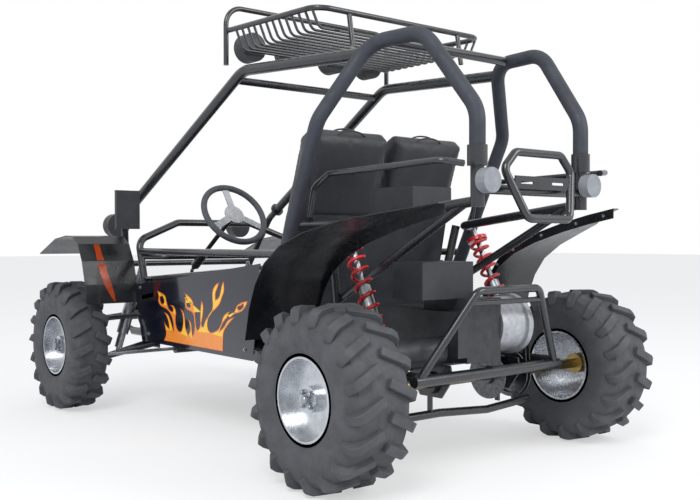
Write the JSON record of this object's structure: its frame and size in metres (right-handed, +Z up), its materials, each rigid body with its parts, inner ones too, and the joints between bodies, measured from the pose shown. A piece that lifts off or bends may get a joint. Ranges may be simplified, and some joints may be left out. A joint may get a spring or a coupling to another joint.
{
  "type": "off-road go-kart",
  "caption": "Two-seat off-road go-kart with roll cage, roof rack, chain-driven rear axle and rack steering.",
  "frame": {"origin": "on the ground midway between the axles, on the centre plane", "axes": "+X forward, +Y to the left, +Z up"},
  "size_m": [2.557, 1.486, 1.66],
  "materials": {
    "tyre_rubber": "matt moulded rubber",
    "machined_alloy": "machined face, clear coated",
    "black_frame": "gloss black powder coat",
    "cage_foam": "matt foam sleeve",
    "seat_vinyl": "black vinyl, soft grain",
    "panel_navy": "gloss navy black with flames",
    "fender_black": "gloss black moulding",
    "black_plastic": "matt black moulding",
    "spring_red": "gloss red powder coat",
    "damper_steel": "plated steel",
    "zinc_gold": "yellow passivated zinc",
    "cast_alloy": "as cast",
    "black_casting": "satin black paint on castings",
    "chain_steel": "oiled steel",
    "lamp_grey": "grey moulding",
    "grip_grey": "matt moulded foam rubber"
  },
  "bodies": {
    "chassis": {"air_box": "black_plastic", "axle_carriers": "black_frame", "chain": "chain_steel", "cross_bars": "black_frame", "dash_frame": "black_frame", "drive_cover": "black_plastic", "engine_case": "black_casting", "engine_drum": "cast_alloy", "engine_guard": "black_frame", "firewall": "black_plastic", "floor_pan": "black_frame", "front_arms": "black_frame", "front_fenders": "fender_black", "front_pillars": "black_frame", "front_shocks": "damper_steel", "fuel_tank": "black_plastic", "headlamps": "black_plastic", "lower_rails": "black_frame", "mirrors": "black_plastic", "muffler": "black_casting", "nose_frame": "black_frame", "plate_bracket": "black_frame", "rack_housing": "black_frame", "rack_slats": "black_frame", "rear_arm": "black_frame", "rear_fenders": "fender_black", "rear_frame": "black_frame", "rear_rack": "black_frame", "rear_shocks": "damper_steel", "rear_springs": "spring_red", "roof_lamps": "black_plastic", "roof_rack": "black_frame", "seats": "seat_vinyl", "side_bars": "black_frame", "side_hoops": "cage_foam", "side_panels": "panel_navy", "tail_lamps": "lamp_grey"},
    "rear_axle": {"rear_tyres": "tyre_rubber", "rear_rims": "machined_alloy", "axle_shaft": "zinc_gold", "sprocket": "chain_steel", "brake_disc": "chain_steel"},
    "knuckle_left": {"knuckle_left": "black_frame"},
    "knuckle_right": {"knuckle_right": "black_frame"},
    "wheel_left": {"front_tyre_left": "tyre_rubber", "front_rim_left": "machined_alloy"},
    "wheel_right": {"front_tyre_right": "tyre_rubber", "front_rim_right": "machined_alloy"},
    "steering": {"steering_wheel": "grip_grey", "steering_spokes": "machined_alloy", "steering_shaft": "black_frame"},
    "joint_shaft": {"steering_link": "black_frame"},
    "rack": {"tie_rods": "damper_steel"}
  },
  "joints": [
    {"name": "rear_axle_spin", "type": "hinge", "parent": "chassis", "child": "rear_axle", "pos_m": [-0.9125, 0, 0.281], "axis": [0, 1, 0], "continuous": true},
    {"name": "steering", "type": "hinge", "parent": "chassis", "child": "steering", "pos_m": [0.26, 0.19, 0.86], "axis": [-0.829, 0, 0.5592], "range_deg": [-135, 135]},
    {"name": "joint_shaft", "type": "hinge", "parent": "chassis", "child": "joint_shaft", "pos_m": [0.8345, 0.13, 0.262], "axis": [-0.5119, 0.143, 0.8471], "range_deg": [-135, 135]},
    {"name": "rack", "type": "slide", "parent": "chassis", "child": "rack", "axis": [0, 1, 0], "range_m": [-0.0277, 0.0277]},
    {"name": "steer_left", "type": "hinge", "parent": "chassis", "child": "knuckle_left", "pos_m": [0.9125, 0.6, 0.284], "axis": [0, 0, 1], "range_deg": [-22.01, 22.01]},
    {"name": "front_wheel_left_spin", "type": "hinge", "parent": "knuckle_left", "child": "wheel_left", "pos_m": [0.9125, 0.651, 0.284], "axis": [0, 1, 0], "continuous": true},
    {"name": "steer_right", "type": "hinge", "parent": "chassis", "child": "knuckle_right", "pos_m": [0.9125, -0.6, 0.284], "axis": [0, 0, 1], "range_deg": [-22.01, 22.01]},
    {"name": "front_wheel_right_spin", "type": "hinge", "parent": "knuckle_right", "child": "wheel_right", "pos_m": [0.9125, -0.651, 0.284], "axis": [0, 1, 0], "continuous": true}
  ],
  "couplings": [
    {"joint": "joint_shaft", "follows": "steering", "ratio": 1},
    {"joint": "rack", "follows": "steering", "m_per_rad": -0.011733},
    {"joint": "steer_left", "follows": "steering", "ratio": 0.16296},
    {"joint": "steer_right", "follows": "steering", "ratio": 0.16296}
  ]
}
